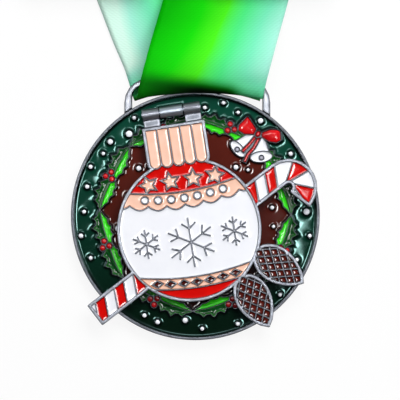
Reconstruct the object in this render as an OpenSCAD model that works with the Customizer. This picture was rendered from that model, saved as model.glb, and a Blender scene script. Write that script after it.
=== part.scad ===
// Finisher medal: a round cast base with a filled wreath, a hinged front cover and a folded neck ribbon.
// Millimetres. The medal lies on its back, with the origin in the middle of its back and +Y to the ribbon.

/* [Base casting] */
// Diameter of the base disc
disc_d = 76; // [72:1:84]
// Thickness of the base disc at its rim
base_t = 3; // [2.6:0.1:4]
// Width of the raised rim
rim_w = 0.9; // [0.6:0.1:1.4]
// Depth of the cells that hold the colour fills
recess_depth = 0.8; // [0.6:0.05:1]
// Width of the thin raised lines between the cells
line_w = 0.26; // [0.2:0.02:0.36]

/* [Colour fills] */
// How far a fill of the base stays below the metal around it
fill_drop = 0.25; // [0.1:0.05:0.35]
// How far a fill of the cover stays below the metal around it
cover_drop = 0.15; // [0.05:0.05:0.25]
// Gap between a fill and the metal wall beside it
fill_gap = 0.03; // [0.02:0.01:0.06]

/* [Hanger] */
// Room in the slot beside each edge of the ribbon
slot_clear = 0.75; // [0.5:0.05:2]
// Width of the two side arms of the hanger
arm_w = 2.4; // [1.8:0.1:3.5]
// Width of the cross bar at the top of the hanger
bar_w = 2.4; // [1.8:0.1:3]
// Free height between the disc and the cross bar at the middle
slot_gap = 1.6; // [1.4:0.1:2.2]
// Thickness of the hanger
hanger_t = 1.8; // [1.4:0.1:2]
// Height of the underside of the hanger over the back face
hanger_z = 0.95; // [0.9:0.05:1.1]
// Sideways offset of the hanger from the middle of the disc
hanger_x = 0.6; // [0:0.1:1]

/* [Wreath] */
// Distance of the ring of sprigs from the wall of the rim
wreath_inset = 9.3; // [9:0.1:10.5]
// How much further out the leaf tips lie than the sprigs
tip_flare = 1.4; // [0.6:0.1:1.8]
// Greatest width of the outer half of a leaf
leaf_out = 3.2; // [2.4:0.1:3.4]
// Greatest width of the inner half of a leaf
leaf_in = 2.7; // [2:0.1:3]
// Number of hollows along one edge of a leaf
leaf_hollows = 4; // [3:1:5]
// Depth of the hollows of the outer half as a share of its width
hollow_out = 0.4; // [0.2:0.05:0.5]
// Depth of the hollows of the inner half as a share of its width
hollow_in = 0.25; // [0.1:0.05:0.5]
// Radius of a berry
berry_r = 1.05; // [0.8:0.05:1.15]

/* [Hinge] */
// Distance of the middle of the hinge from the edge of the disc
hinge_inset = 5.3; // [4.6:0.1:7]
// Bearing of the middle of the hinge, counted from +X, in degrees
hinge_bearing = 103; // [98:1:108]
// Tilt of the hinge line in the face, in degrees
hinge_tilt = 8.7; // [0:0.1:12]
// Radius of the knuckles
knuckle_r = 1.7; // [1.5:0.1:1.9]
// Gap between the knuckles and the base below them
knuckle_lift = 0.25; // [0.2:0.05:0.5]
// Length of the middle knuckle
middle_len = 7; // [6:0.1:8]
// Length of each outer knuckle
outer_len = 5; // [4:0.1:6]
// Gap between two knuckles
knuckle_gap = 0.35; // [0.2:0.05:0.6]
// Width of the foot below the middle knuckle
foot_w = 2.4; // [1.8:0.1:3]
// Radius of the hinge pin
pin_r = 0.6; // [0.5:0.05:0.7]
// Clearance of the pin in the middle knuckle
pin_clear = 0.05; // [0.03:0.01:0.08]
// How far the pin stands out of the outer knuckles
pin_proud = 0.25; // [0.1:0.05:0.5]

/* [Cover casting] */
// Thickness of the front cover
cover_t = 2.1; // [1.8:0.1:2.8]
// Gap between the closed cover and the rim of the base
cover_gap = 0.3; // [0.25:0.05:0.5]
// Depth of the recesses in the cover
cover_recess = 0.6; // [0.4:0.05:0.8]
// Width of the metal edge around the cover
edge_w = 1; // [0.8:0.1:1.4]
// Width of the raised lines inside the cover
cover_line = 0.42; // [0.3:0.02:0.6]
// Thickness of the two hinge tabs
tab_t = 1.4; // [1.1:0.1:1.6]
// Radius of the round ornament
ball_r = 21; // [20:0.5:22]
// Height of the ornament's cap over its scalloped foot
cap_h = 10; // [9:0.1:11]
// Width of the candy cane
cane_w = 5.6; // [4.6:0.2:6]
// Radius of the cane's hook at the middle of the cane
hook_r = 4.9; // [4.4:0.1:5.4]
// Length of one stripe along the cane
stripe_len = 3.6; // [2.8:0.1:4.5]
// Length of the pine cones
cone_len = 16; // [14:0.5:17]
// Width of the pine cones
cone_w = 9; // [8:0.5:9.5]
// Radius of the beads on the ornament's upper band
bead_r = 0.9; // [0.7:0.05:1]
// Outer radius of the small stars, as a share of the ornament's radius
star_share = 0.11; // [0.085:0.005:0.115]
// Outer radius of the two frost stars at the sides, as a share of the ornament's radius
frost_share = 0.21; // [0.14:0.01:0.23]
// Outer radius of the frost star in the middle, as a share of the ornament's radius
middle_frost_share = 0.36; // [0.28:0.01:0.38]

/* [Ribbon] */
// Width of the ribbon
ribbon_w = 37; // [36:0.1:37.2]
// Thickness of the ribbon
ribbon_t = 0.5; // [0.4:0.05:0.5]
// Height step from one fold of the bundles to the next
fold_step = 1.05; // [1.02:0.01:1.1]
// Slant of the front strap from straight up, in degrees
front_slant = 15; // [14:0.5:17]
// Slant of the back strap from straight up, in degrees
back_slant = 21; // [18:0.5:22]
// Thickness of the paper bands around the bundles
band_t = 0.2; // [0.15:0.01:0.22]

/* [Hidden] */

disc_r = disc_d / 2;
floor_z = base_t - recess_depth;
recess_r = disc_r - rim_w;
wreath_r = recess_r - wreath_inset;
half_line = line_w / 2;
slot_w = ribbon_w / cos(front_slant) + 2 * slot_clear;
bar_y = disc_r + slot_gap;
hinge_at = polar(disc_r - hinge_inset, hinge_bearing);
axis_z = base_t + knuckle_lift + knuckle_r;
outer_from = middle_len / 2 + knuckle_gap;
outer_to = outer_from + outer_len;
cover_z = base_t + cover_gap;
cover_floor_z = cover_z + cover_t - cover_recess;
// How far a cutting shape runs past what it cuts, and half the width of the narrowest cell that is kept
overlap = 0.2;
speck = 0.1;
// Facets of the round shapes
fine = 120;

// Radius of the hanger's outer corners and of the slot's corners, and where both start under the disc
hanger_round = 7.5;
slot_round = 3.5;
hanger_root = disc_r / 2;
slot_root = disc_r / 4;

// Bearings of the berry sprigs, counted from +X, and of the same ring after one full turn
sprigs = [23, 68, 112, 155, 198, 244, 293, 338];
turns = concat(sprigs, [sprigs[0] + 360]);
last_sprig = len(sprigs) - 1;
// How far a sprig's middle lies outside the ring, and its berries from that middle, in berry radii
sprig_out = 1.1;
berry_spread = 1.16;

// Snow dots on the outer field: bearing, distance from the wall of the rim, and radius
outer_snow = [
    [122, 1.9, 0.6], [129, 5, 1], [139, 2.7, 0.8], [146, 3.2, 0.55], [155, 1.8, 0.65], [165, 2.9, 0.65],
    [178, 3.1, 0.6], [190, 1.6, 0.7], [202, 2.6, 0.6], [223, 1.7, 0.7], [232, 2.9, 0.6], [243, 2.9, 0.65],
    [250.5, 2.6, 0.7], [264.5, 5, 0.8], [273.5, 2.5, 0.6], [291.5, 1.6, 0.65], [305, 2.7, 0.7],
    [317, 1.7, 0.6], [336.5, 3.3, 0.6], [350, 1.6, 0.6], [2, 3.1, 0.95], [8, 1.7, 0.7], [12, 4.3, 0.5],
    [21.5, 1.6, 0.6], [33, 2.4, 0.65], [55.5, 1.9, 0.8], [67.5, 3, 0.55], [76, 1.6, 0.6], [85, 4, 0.6]];
// Snow dots on the inner field: bearing, distance from the ring of sprigs, and radius
inner_snow = [
    [121.5, 6.7, 0.8], [133, 7.3, 0.5], [163.5, 6.4, 0.75], [189.5, 3.9, 0.9], [206.5, 4.3, 0.6],
    [226.5, 3.4, 0.6], [41, 6.5, 0.5], [28, 3.9, 0.7], [22.5, 6.7, 0.95], [6, 4.2, 0.6], [352, 3.7, 0.5],
    [316, 1.3, 0.5], [298, 3.6, 0.65], [121, 16, 0.8], [84, 9.7, 0.7], [27, 18.9, 0.9], [202, 17, 0.7],
    [288, 18.3, 0.8], [255, 8.2, 0.6], [327, 11.2, 0.7], [60, 14, 0.6], [180, 23, 0.5], [283, 10.3, 0.5],
    [163, 14.2, 0.5], [140, 5.3, 0.75], [50, 8.5, 0.75]];

// Place of the bow's knot. Outlines of its two loops and middle lines of its two tails, all from the knot
knot_at = polar(recess_r - 5.6, 52.5);
loop_left = [[-3.1, 5.6], [-6, 2.8], [-6.2, 1], [-4.3, -0.2], [-0.9, -0.3], [-0.4, 1.6]];
loop_right = [[0.8, 0.4], [3.6, 1.5], [6, 1.4], [7, 0.7], [7.1, -2], [5.6, -2.8], [3.4, -2.5], [1.1, -1.1]];
tails = [[[-0.5, -0.6], [-2.3, -2.8], [-4.9, -5.5]], [[0.4, -1], [-1.3, -4.2], [-3.2, -6.4], [-4.2, -8.7]]];
tail_w = 1.15;
// The two bells: middle of the mouth from the knot, bearing of the crown, length, half width of the mouth
bell_set = [[[-6.2, -4.6], 40, 6.6, 3], [[1, -7], 97, 6.2, 3.4]];
clapper_r = 0.75;

// The cover's own frame starts at the hinge: x along the pin, y away from the disc's middle
cap_y = -5;
cap_foot = cap_y - cap_h;
flutes = 5;
// The ornament hangs below the foot of its cap
ball_drop = 0.5;
ball_at = [0, cap_foot - ball_drop - ball_r];
// A place on the ornament, from its middle and in shares of its radius
function on_ball(share) = ball_at + share * ball_r;
// Levels of the ornament's bands at its two sides, and how far they hang lower at the middle
upper_band = [for (f = [0.69, 0.53]) on_ball([0, f]).y];
lower_band = [for (f = [-0.55, -0.69]) on_ball([0, f]).y];
sag = ball_r / 7;
// Width, height and number of straight pieces of one scallop
scallop_w = 5.6;
scallop_h = 1.3;
scallop_steps = 8;
bead_pitch = 4;
lozenge = [1.25, 0.85];
// The small stars with the turn of each, and the frost stars with the radius of each
stars_at = [[on_ball([-0.486, 0.724]), 14], [on_ball([-0.167, 0.729]), 5], [on_ball([0.167, 0.729]), -5],
    [on_ball([0.486, 0.724]), -14]];
star_r = star_share * ball_r;
frost_r = frost_share * ball_r;
frosts_at = [[on_ball([-0.643, -0.119]), frost_r], [on_ball([0, -0.186]), middle_frost_share * ball_r],
    [on_ball([0.643, -0.119]), frost_r]];
// Waist of a small star, and place and length of a frost star's barbs, as shares of the radius
star_waist = 0.5;
barb_at = 0.55;
barb_len = 0.36;
barb_angle = 50;
// One entry for each cane: lower end, start of the hook, and the way that the hook turns
canes = [[on_ball([-1.5, -1]), on_ball([1.405, 0.595]), -1]];
hook_sweep = 165;
stripe_slant = 1.5;
// The pine cones: bearing from the ornament's middle and bearing of the tip
cones = [[304, 290], [329, 317]];
cone_gap = 0.4;
// Number of scales across a cone, and the length of a scale as a share of its width
scales_across = 3.2;
scale_stretch = 1.24;
// Width of the metal left between a piece and the one that passes behind it
behind_gap = 0.7;

// The free ribbon: distance of its middle line from the edge of the disc, and its height. Front strap first
loop_route = [[32, 1.9], [27, 2.7], [22, 4.2], [17.5, 5.8], [14, 6.7], [11.2, 7.1], [8.6, 7.2], [6.2, 7.05],
    [4.2, 6.7], [2.6, 6.2], [1, 5.6], [0, 4.9], [-0.4, 4.2], [-0.05, 3.6], [0.65, 2.95], [0.55, 1.9],
    [0.65, 1], [1.2, 0.5], [2.5, 0.34], [6, 0.34], [14, 0.34], [22, 0.4], [28, 0.55], [32, 0.75]];
fold_row = 15;
// How much lower the fold hangs at the ribbon's edges, and how far along the straps that reaches
loop_drop = 3.3;
loop_reach = 8;
// Run over which the back strap takes up its own slant, and number of strips across the free ribbon
turn_run = 15;
across = 6;
// Places of the folds, counted from the edge of the disc
near_fold = 34;
far_fold = 85;
mitre_fold = 65;
near_y = disc_r + near_fold;
far_y = disc_r + far_fold;
mitre_y = disc_r + mitre_fold;
fold_runs = 7;
// Height of the lowest layer of each bundle at its near end and at its far end
right_rest = [1.9, 0.4];
left_rest = [0.75, 0.4];
right_end_x = -14;
left_end_x = 4;
seam_gap = 0.05;
// Straight run after the square turn, and the gap between the two overlapped ends
mitre_run = 20;
cross_gap = 0.12;
// Place of the paper bands, counted from the edge of the disc, their width, and their gap to the folds
band_at = 42;
band_y = disc_r + band_at;
band_w = 6;
band_clear = 0.1;
// The sewn rows: distance from the end of the ribbon, and pitch, length and width of a stitch
stitch_inset = 2.5;
stitch_pitch = 3;
stitch_len = 2.2;
stitch_w = 0.4;
stitch_lift = 0.02;

// Small helpers for points and outlines

function turned(p, a) = [p.x * cos(a) - p.y * sin(a), p.x * sin(a) + p.y * cos(a)];
function polar(r, a) = [r * cos(a), r * sin(a)];
function mix(a, b, f) = a + (b - a) * f;
function sum(v, i = 0) = i < len(v) ? v[i] + sum(v, i + 1) : 0;
function bezier(a, b, c, d, n) =
    [for (i = [0:n]) let (f = i / n, g = 1 - f)
        a * g * g * g + b * 3 * g * g * f + c * 3 * g * f * f + d * f * f * f];
function normal_at(p, i) =
    let (a = p[max(i - 1, 0)], b = p[min(i + 1, len(p) - 1)], d = (b - a) / norm(b - a)) [-d.y, d.x];
function strip_outline(p, w) = concat(
    [for (i = [0:len(p) - 1]) p[i] + normal_at(p, i) * w / 2],
    [for (i = [len(p) - 1:-1:0]) p[i] - normal_at(p, i) * w / 2]);

module rounded(r) {
    offset(r = r, $fn = 20) offset(delta = -r) children();
}

// Leaves out what is too narrow to be cast or filled
module without_specks() {
    offset(delta = speck) offset(delta = -speck) children();
}

module in_hinge_frame() {
    translate(hinge_at) rotate(hinge_tilt) children();
}

// Wreath: each gap between two sprigs holds two leaves, which start at the sprigs and meet at their tips

function leaf_bearing(k, way, u) =
    let (half = (turns[k + 1] - turns[k]) / 2) way == 0 ? turns[k] + u * half : turns[k + 1] - u * half;
function rib_radius(u) = wreath_r + tip_flare * pow(u, 1.3);
function leaf_width(u, widest, hollow) =
    let (f = u * leaf_hollows - floor(u * leaf_hollows))
    widest * pow(sin(180 * (0.12 + 0.88 * u)), 0.8) * (1 - hollow * 4 * f * (1 - f));
leaf_steps = leaf_hollows * 3;

module leaf_half(k, way, side) {
    widest = side > 0 ? leaf_out : leaf_in;
    hollow = side > 0 ? hollow_out : hollow_in;
    polygon(concat(
        [for (i = [0:4]) polar(rib_radius(i / 4), leaf_bearing(k, way, i / 4))],
        [for (i = [leaf_steps - 1:-1:0]) let (u = i / leaf_steps)
            polar(rib_radius(u) + side * leaf_width(u, widest, hollow), leaf_bearing(k, way, u))]));
}

module leaf_halves(side) {
    for (k = [0:last_sprig], way = [0, 1]) leaf_half(k, way, side);
}

// Area inside the middle ribs of all leaves, which parts the inner field from the outer one
module inside_ribs() {
    polygon([for (k = [0:last_sprig], way = [0, 1], i = [0:3])
        let (u = way == 0 ? i / 4 : 1 - i / 4) polar(rib_radius(u), leaf_bearing(k, way, u))]);
}

module berry_discs() {
    for (b = sprigs, t = [0:2])
        translate(polar(wreath_r + sprig_out, b)) rotate(b + 30 + 120 * t)
            translate([berry_r * berry_spread, 0]) circle(berry_r, $fn = 16);
}

// The bow in its own frame, with the knot at the origin
module bow_loops() {
    rounded(0.5) difference() {
        union() {
            polygon(loop_left);
            polygon(loop_right);
        }
        offset(delta = half_line) bow_knot();
    }
}

module bow_knot() {
    rotate(55) scale([1.2, 0.9]) circle(0.95, $fn = 16);
}

module bow_tail(i) {
    difference() {
        polygon(strip_outline(tails[i], tail_w));
        offset(delta = half_line) bow_knot();
        offset(delta = half_line) bow_loops();
    }
}

module bow_area() {
    translate(knot_at) {
        bow_loops();
        bow_knot();
        for (i = [0, 1]) bow_tail(i);
    }
}

// A bell in its own frame: mouth at the origin, crown along +X
module bell_body(length, mouth) {
    rounded(0.4) polygon([[0, mouth], [length * 0.25, mouth * 0.74], [length * 0.7, mouth * 0.58],
        [length * 0.94, mouth * 0.32], [length, 0], [length * 0.94, -mouth * 0.32],
        [length * 0.7, -mouth * 0.58], [length * 0.25, -mouth * 0.74], [0, -mouth]]);
}

module bell_mouth(mouth) {
    scale([0.5, 1]) circle(mouth, $fn = 32);
}

module at_bell(b) {
    translate(knot_at + b[0]) rotate(b[1]) children();
}

module bell_area() {
    for (b = bell_set) at_bell(b) {
        bell_body(b[2], b[3]);
        bell_mouth(b[3]);
    }
}

module clapper_discs() {
    for (b = bell_set) at_bell(b) translate([-b[3] * 0.08, 0]) circle(clapper_r, $fn = 20);
}

module foot_area() {
    in_hinge_frame() square([middle_len, foot_w], center = true);
}

// Bow, bells and the pad of the middle knuckle lie over the leaves
module over_leaves() {
    bow_area();
    bell_area();
    foot_area();
}

module wreath_area() {
    leaf_halves(1);
    leaf_halves(-1);
    berry_discs();
    over_leaves();
}

module snow_discs(places, ring_r, grow) {
    for (s = places) translate(polar(ring_r - s.y, s.x)) circle(s.z + grow, $fn = 20);
}

// Cells of the base: each is the area of one fill, half a line away from its neighbours

module bow_cell() {
    translate(knot_at) {
        offset(delta = -half_line) bow_loops();
        offset(delta = -half_line) bow_knot();
        for (i = [0, 1]) offset(delta = -half_line) bow_tail(i);
    }
}

module clapper_cell() {
    difference() {
        offset(delta = -half_line) clapper_discs();
        offset(delta = half_line) bow_area();
    }
}

module bell_cell() {
    without_specks() difference() {
        for (b = bell_set) at_bell(b) {
            offset(delta = -half_line) difference() {
                bell_body(b[2], b[3]);
                bell_mouth(b[3]);
            }
            offset(delta = -half_line) bell_mouth(b[3]);
        }
        offset(delta = half_line) clapper_discs();
        offset(delta = half_line) bow_area();
    }
}

module berry_cell() {
    difference() {
        offset(delta = -half_line) berry_discs();
        offset(delta = half_line) over_leaves();
    }
}

module leaf_cell(side) {
    without_specks() difference() {
        for (k = [0:last_sprig], way = [0, 1]) offset(delta = -half_line) leaf_half(k, way, side);
        offset(delta = half_line) berry_discs();
        offset(delta = half_line) over_leaves();
    }
}

module green_cell() {
    without_specks() difference() {
        circle(recess_r, $fn = fine);
        offset(delta = half_line) inside_ribs();
        offset(delta = half_line) wreath_area();
    }
}

module brown_cell() {
    without_specks() difference() {
        offset(delta = -half_line) inside_ribs();
        offset(delta = half_line) wreath_area();
    }
}

module base_cells() {
    green_cell();
    brown_cell();
    leaf_cell(1);
    leaf_cell(-1);
    berry_cell();
    bell_cell();
    clapper_cell();
    bow_cell();
}

module base_fill() {
    translate([0, 0, floor_z]) linear_extrude(recess_depth - fill_drop) offset(delta = -fill_gap) children();
}

// Base body

// A flat shape joined from several, so that it is cut in one go
module joined() {
    offset(delta = 0) children();
}

module hanger_outline() {
    difference() {
        translate([hanger_x, 0]) rounded(hanger_round) translate([-slot_w / 2 - arm_w, hanger_root])
            square([slot_w + 2 * arm_w, bar_y + bar_w - hanger_root]);
        translate([hanger_x, 0]) rounded(slot_round) translate([-slot_w / 2, slot_root])
            square([slot_w, bar_y - slot_root]);
    }
}

module base_plate() {
    color([0.6, 0.62, 0.66]) difference() {
        union() {
            cylinder(r = disc_r, h = base_t, $fn = fine);
            translate([0, 0, hanger_z]) linear_extrude(hanger_t) hanger_outline();
        }
        translate([0, 0, floor_z]) linear_extrude(recess_depth + overlap) joined() base_cells();
    }
}

// The middle knuckle stands on a pad of the base, as high as the rim
module middle_knuckle() {
    color([0.66, 0.7, 0.75]) in_hinge_frame() difference() {
        union() {
            translate([0, 0, axis_z]) rotate([0, 90, 0])
                cylinder(r = knuckle_r, h = middle_len, center = true, $fn = fine);
            translate([-middle_len / 2, -foot_w / 2, base_t]) cube([middle_len, foot_w, axis_z - base_t]);
        }
        translate([0, 0, axis_z]) rotate([0, 90, 0])
            cylinder(r = pin_r + pin_clear, h = middle_len + 2 * overlap, center = true, $fn = fine);
    }
}

module green_field() {
    color([0.01, 0.2, 0.12]) base_fill() difference() {
        green_cell();
        snow_discs(outer_snow, recess_r, 0);
    }
}

module brown_field() {
    color([0.27, 0.06, 0.03]) base_fill() difference() {
        brown_cell();
        snow_discs(inner_snow, wreath_r, 0);
    }
}

module leaf_light() {
    color([0.15, 0.75, 0.08]) base_fill() leaf_cell(-1);
}

module leaf_dark() {
    color([0.03, 0.25, 0.09]) base_fill() leaf_cell(1);
}

module berries() {
    color([0.75, 0.05, 0.06]) base_fill() berry_cell();
}

// Each snow dot is a short bead that stands on the floor of its cell and rises to the rim
module bead_row(places, ring_r) {
    for (s = places) translate(concat(polar(ring_r - s.y, s.x), floor_z))
        cylinder(r = s.z, h = recess_depth, $fn = 24);
}

module snow_dots() {
    color("white") {
        bead_row(outer_snow, recess_r);
        bead_row(inner_snow, wreath_r);
    }
}

module bells() {
    color("white") base_fill() bell_cell();
}

module bell_clappers() {
    color([0.78, 0.77, 0.82]) base_fill() clapper_cell();
}

module bow() {
    color([0.82, 0.04, 0.06]) base_fill() bow_cell();
}

// Cover body, drawn in the hinge's frame

module ball_disc() {
    translate(ball_at) circle(ball_r, $fn = 90);
}

// The cap: a row of flutes with round feet
module cap_cell() {
    pitch = 2 * outer_to / flutes;
    w = pitch - cover_line;
    for (i = [0:flutes - 1]) translate([(i - (flutes - 1) / 2) * pitch, cap_foot]) {
        translate([-w / 2, 0]) square([w, cap_h]);
        circle(w / 2, $fn = 24);
    }
}

function band_line(u, level) = level - sag * (1 - pow(u / ball_r, 2));
// Half the width of the ornament at the height of a point
function half_chord(p) = sqrt(max(0, pow(ball_r, 2) - pow(p.y - ball_at.y, 2)));
// Points along the middle of a band, as many as fit with the given room at each end
function band_points(band, room) = let (level = (band[0] + band[1]) / 2, most = ceil(ball_r / bead_pitch))
    [for (i = [-most:most]) let (u = i * bead_pitch, p = [u, band_line(u, level)])
        if (abs(u) + room < half_chord(p)) p];

module above_line(level, scallop) {
    n = ceil((ball_r + edge_w) / scallop_w) * scallop_steps;
    step = scallop_w / scallop_steps;
    polygon(concat(
        [for (i = [-n:n]) [i * step, band_line(i * step, level) - scallop * abs(sin(180 * i / scallop_steps))]],
        [[n * step, cap_y], [-n * step, cap_y]]));
}

module star_outline(r) {
    polygon([for (i = [0:9]) polar(i % 2 == 0 ? r : r * star_waist, 90 + 36 * i)]);
}

module star_area() {
    for (t = stars_at) translate(t[0]) rotate(t[1]) star_outline(star_r);
}

// A frost star: six arms, each with one pair of barbs
module frost_lines() {
    for (f = frosts_at, k = [0:5]) translate(f[0]) rotate(60 * k + 30) {
        polygon(strip_outline([[0, 0], [f[1], 0]], cover_line));
        for (side = [-1, 1]) translate([f[1] * barb_at, 0]) rotate(side * barb_angle)
            polygon(strip_outline([[0, 0], [f[1] * barb_len, 0]], cover_line));
    }
}

module bead_discs() {
    for (p = band_points(upper_band, bead_r + edge_w)) translate(p) circle(bead_r, $fn = 20);
}

module lozenges() {
    for (p = band_points(lower_band, lozenge.x + edge_w)) translate(p)
        polygon([[lozenge.x, 0], [0, lozenge.y], [-lozenge.x, 0], [0, -lozenge.y]]);
}

// A point beside a cane: s runs along the cane from its lower end, off to its left
function cane_point(c, s, off) = let (
    run = norm(c[1] - c[0]),
    d = (c[1] - c[0]) / run,
    n = [-d.y, d.x],
    hub = c[1] + n * hook_r * c[2],
    a = (s - run) / hook_r * 180 / PI * c[2])
    s <= run ? c[0] + d * s + n * off : hub + turned(n, a) * (off - hook_r * c[2]);
function cane_end(c) = norm(c[1] - c[0]) + hook_r * hook_sweep * PI / 180;

module cane_area() {
    for (c = canes) let (n = 10, bend = norm(c[1] - c[0]), stops = concat([0], [for (i = [0:n])
        mix(bend, cane_end(c), i / n)])) polygon(concat(
            [for (s = stops) cane_point(c, s, cane_w / 2)],
            [for (i = [len(stops) - 1:-1:0]) cane_point(c, stops[i], -cane_w / 2)]));
}

// Every second stripe of the cane, each drawn askew across it
module cane_stripes(first) {
    half = cane_w / 2 + overlap;
    n = 3;
    intersection() {
        cane_area();
        for (c = canes) let (last = ceil(cane_end(c) / stripe_len))
            for (i = [first - 2:2:last]) let (from = i * stripe_len)
                offset(delta = -cover_line / 2) polygon(concat(
                    [for (k = [0:n]) cane_point(c, from + k / n * stripe_len + stripe_slant, half)],
                    [for (k = [n:-1:0]) cane_point(c, from + k / n * stripe_len - stripe_slant, -half)]));
    }
}

// A pine cone in its own frame: middle at the origin, tip along +X
module cone_outline() {
    n = 14;
    function half_at(f) = cone_w / 2 * pow(sin(180 * pow(f, 0.8)), 0.7);
    polygon(concat(
        [for (i = [0:n]) [cone_len * (i / n - 0.5), half_at(i / n)]],
        [for (i = [n - 1:-1:1]) [cone_len * (i / n - 0.5), -half_at(i / n)]]));
}

module at_cone(c) {
    translate(ball_at + polar(ball_r + cone_gap + cone_len / 2, c[0])) rotate(c[1]) children();
}

module cone_area() {
    for (c = cones) at_cone(c) cone_outline();
}

// Scales are the lozenges of a slanted lattice, cut to the cone's outline
module cone_scales() {
    wide = cone_w / scales_across;
    long = wide * scale_stretch;
    for (c = cones) at_cone(c) intersection() {
        cone_outline();
        for (i = [-4:4], j = [-3:3]) translate([(i + (j % 2 == 0 ? 0 : 0.5)) * long, j * wide / 2])
            offset(delta = -cover_line / 2)
                polygon([[long / 2, 0], [0, wide / 2], [-long / 2, 0], [0, -wide / 2]]);
    }
}

module cover_outline() {
    rounded(0.4) offset(delta = edge_w) {
        ball_disc();
        cap_cell();
        cane_area();
        cone_area();
    }
}

module red_cell() {
    difference() {
        ball_disc();
        offset(delta = cover_line) difference() {
            above_line(lower_band[1], 0);
            above_line(upper_band[0], 0);
        }
        offset(delta = cover_line) star_area();
        offset(delta = cover_line) cap_cell();
    }
}

module bands_cell() {
    difference() {
        intersection() {
            ball_disc();
            union() {
                difference() {
                    above_line(upper_band[1], scallop_h);
                    above_line(upper_band[0], 0);
                }
                difference() {
                    above_line(lower_band[1], 0);
                    above_line(lower_band[0], 0);
                }
            }
        }
        offset(delta = cover_line) bead_discs();
        offset(delta = cover_line) lozenges();
    }
}

module white_cell() {
    difference() {
        intersection() {
            ball_disc();
            above_line(lower_band[0] + cover_line, 0);
        }
        offset(delta = cover_line) above_line(upper_band[1], scallop_h);
        frost_lines();
    }
}

// The cane passes behind the ornament and the cones, and the cones behind the ornament
module cane_cell(first) {
    difference() {
        cane_stripes(first);
        offset(delta = behind_gap) ball_disc();
        offset(delta = behind_gap) cone_area();
    }
}

module cone_cell() {
    without_specks() difference() {
        cone_scales();
        offset(delta = behind_gap) ball_disc();
    }
}

module cover_cells() {
    cap_cell();
    red_cell();
    bands_cell();
    white_cell();
    star_area();
    bead_discs();
    lozenges();
    cane_cell(0);
    cane_cell(1);
    cone_cell();
}

module cover_fill() {
    in_hinge_frame() translate([0, 0, cover_floor_z]) linear_extrude(cover_recess - cover_drop)
        offset(delta = -fill_gap) children();
}

module outer_knuckles() {
    for (side = [-1, 1]) {
        translate([side * (outer_from + outer_len / 2), 0, axis_z]) rotate([0, 90, 0])
            cylinder(r = knuckle_r, h = outer_len, center = true, $fn = fine);
        translate([side > 0 ? outer_from : -outer_to, cap_y - edge_w, cover_z])
            cube([outer_len, -cap_y + edge_w, tab_t]);
    }
}

module cover_plate() {
    color([0.6, 0.62, 0.66]) in_hinge_frame() difference() {
        union() {
            translate([0, 0, cover_z]) linear_extrude(cover_t) cover_outline();
            outer_knuckles();
        }
        translate([0, 0, cover_floor_z]) linear_extrude(cover_recess + overlap) joined() cover_cells();
        translate([0, 0, axis_z]) rotate([0, 90, 0])
            cylinder(r = pin_r, h = 2 * outer_to + 2 * overlap, center = true, $fn = fine);
    }
}

module hinge_pin() {
    color([0.7, 0.72, 0.75]) in_hinge_frame() translate([0, 0, axis_z]) rotate([0, 90, 0])
        cylinder(r = pin_r, h = 2 * (outer_to + pin_proud), center = true, $fn = fine);
}

module cap_flutes() {
    color([0.98, 0.8, 0.68]) cover_fill() cap_cell();
}

module ornament_red() {
    color([0.82, 0.03, 0.02]) cover_fill() red_cell();
}

module ornament_bands() {
    color([0.98, 0.8, 0.68]) cover_fill() bands_cell();
}

module ornament_white() {
    color("white") cover_fill() white_cell();
}

module ornament_stars() {
    color([0.98, 0.8, 0.68]) cover_fill() star_area();
}

module band_beads() {
    color("white") cover_fill() bead_discs();
}

module band_lozenges() {
    color([0.27, 0.06, 0.03]) cover_fill() lozenges();
}

module cane_red() {
    color([0.82, 0.03, 0.02]) cover_fill() cane_cell(0);
}

module cane_white() {
    color("white") cover_fill() cane_cell(1);
}

module pine_cones() {
    color([0.27, 0.06, 0.03]) cover_fill() cone_cell();
}

// Ribbon: a flat strip swept as one polyhedron. A ring is a row of points over the top and back below.

// Faces of a swept strip with n points along the top of each ring and n underneath
function strip_faces(rings, n) = let (m = 2 * n) concat(
    [for (i = [0:rings - 2], j = [0:m - 1]) [i * m + j, (i + 1) * m + (j + 1) % m, i * m + (j + 1) % m]],
    [for (i = [0:rings - 2], j = [0:m - 1]) [i * m + j, (i + 1) * m + j, (i + 1) * m + (j + 1) % m]],
    [for (j = [0:n - 2]) [j, j + 1, m - 2 - j]],
    [for (j = [0:n - 2]) [j, m - 2 - j, m - 1 - j]],
    [for (j = [0:n - 2]) let (b = (rings - 1) * m) [b + j, b + m - 2 - j, b + j + 1]],
    [for (j = [0:n - 2]) let (b = (rings - 1) * m) [b + j, b + m - 1 - j, b + m - 2 - j]]);

// Distance along the free ribbon from its fold in the slot, front strap positive
function run_to(i) = i < fold_row
    ? sum([for (k = [i:fold_row - 1]) norm(loop_route[k + 1] - loop_route[k])])
    : -sum([for (k = [fold_row:1:i - 1]) norm(loop_route[k + 1] - loop_route[k])]);
function strap_x(s) = hanger_x + s * tan(s > 0 ? front_slant : back_slant);
function strap_half(s) =
    ribbon_w / 2 / cos(s > 0 ? front_slant : mix(front_slant, back_slant, min(1, -s / turn_run)));
function route_normal(i) = normal_at(loop_route, i);
// The fold hangs lower at its two sides, where the slot is higher
function fold_sag(s, f) = -loop_drop * f * f * pow(max(0, 1 - abs(s) / loop_reach), 1.5);

function loop_ring(i) = let (s = run_to(i), n = route_normal(i) * ribbon_t / 2, p = loop_route[i]) concat(
    [for (j = [0:across]) let (f = 2 * j / across - 1)
        [strap_x(s) + f * strap_half(s), disc_r + p.x + n.x + fold_sag(s, f), p.y + n.y]],
    [for (j = [across:-1:0]) let (f = 2 * j / across - 1)
        [strap_x(s) + f * strap_half(s), disc_r + p.x - n.x + fold_sag(s, f), p.y - n.y]]);

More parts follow.
